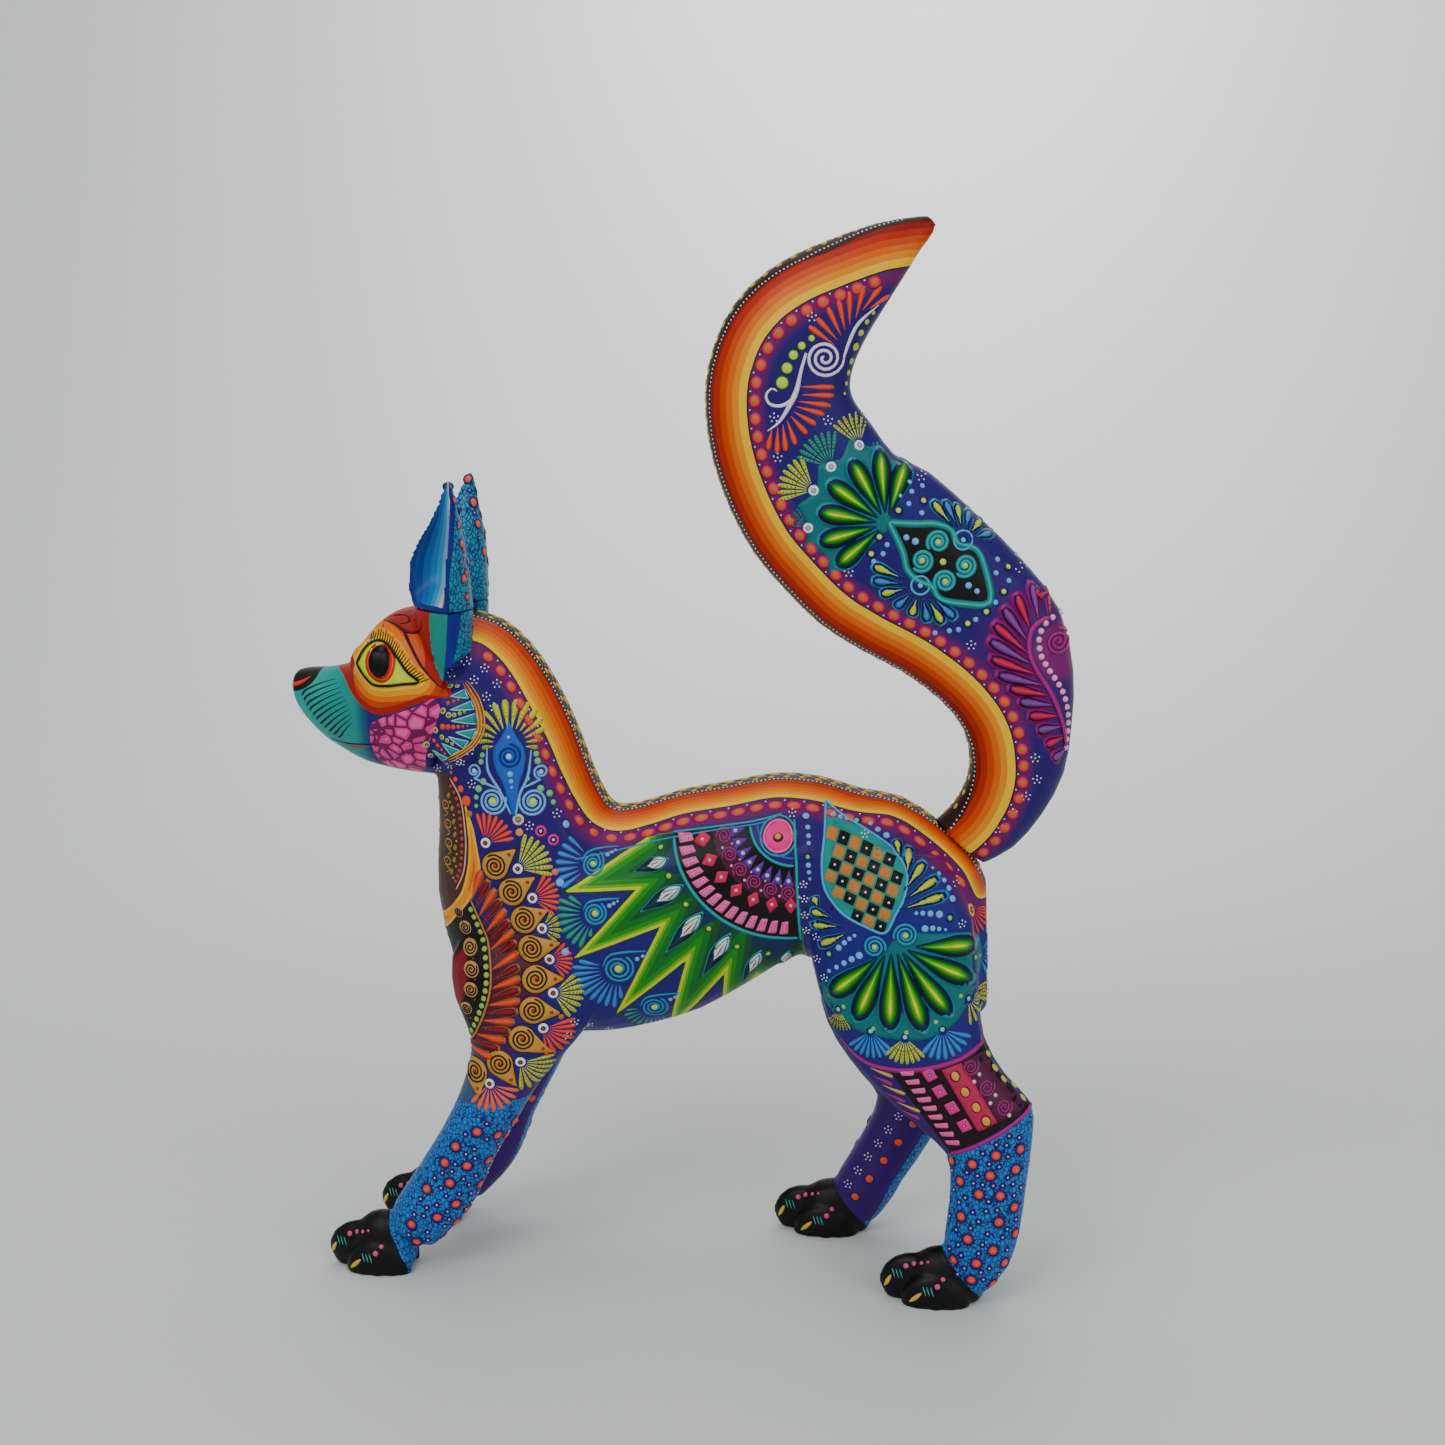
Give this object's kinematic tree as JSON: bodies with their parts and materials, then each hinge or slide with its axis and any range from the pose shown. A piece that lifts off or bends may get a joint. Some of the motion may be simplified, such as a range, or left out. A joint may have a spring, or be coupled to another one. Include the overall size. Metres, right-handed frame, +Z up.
{
  "type": "alebrije figure",
  "caption": "Carved and painted wooden coyote figure standing on all fours with a tall curling tail, with ears and tail that pull off their pegs.",
  "frame": {"origin": "on the surface it stands on, at the middle of the whole figure's box", "axes": "+Z up, nose towards -X, the animal's left side towards -Y"},
  "size_m": [0.3162, 0.0864, 0.4292],
  "materials": {
    "painted_body": "acrylic paint in violet, orange, teal and lime motifs, satin varnish",
    "painted_head": "acrylic paint in teal, red, orange and magenta, satin varnish",
    "painted_legs": "stippled blue acrylic paint with black paws, satin varnish",
    "painted_ears": "teal stipple outside, graded blue inside, satin varnish",
    "painted_tail": "acrylic paint in violet with an orange graded band and raised dots, satin varnish",
    "bare_wood": "bare sanded wood"
  },
  "bodies": {
    "figure": {"torso": "painted_body", "head": "painted_head", "head_dowel": "bare_wood", "foreleg_left": "painted_legs", "foreleg_right": "painted_legs", "hindleg_left": "painted_legs", "hindleg_right": "painted_legs", "foreleg_left_dowel": "bare_wood", "foreleg_right_dowel": "bare_wood", "hindleg_left_dowel": "bare_wood", "hindleg_right_dowel": "bare_wood"},
    "tail": {"tail": "painted_tail", "tail_peg": "bare_wood"},
    "ear_left": {"ear_left": "painted_ears", "ear_left_peg": "bare_wood"},
    "ear_right": {"ear_right": "painted_ears", "ear_right_peg": "bare_wood"}
  },
  "joints": [
    {"name": "tail_slide", "type": "slide", "parent": "figure", "child": "tail", "axis": [0.6476, 0, 0.7619], "range_m": [0, 0.02]},
    {"name": "ear_left_slide", "type": "slide", "parent": "figure", "child": "ear_left", "axis": [0, 0, 1], "range_m": [0, 0.014]},
    {"name": "ear_right_slide", "type": "slide", "parent": "figure", "child": "ear_right", "axis": [0, 0, 1], "range_m": [0, 0.014]}
  ]
}
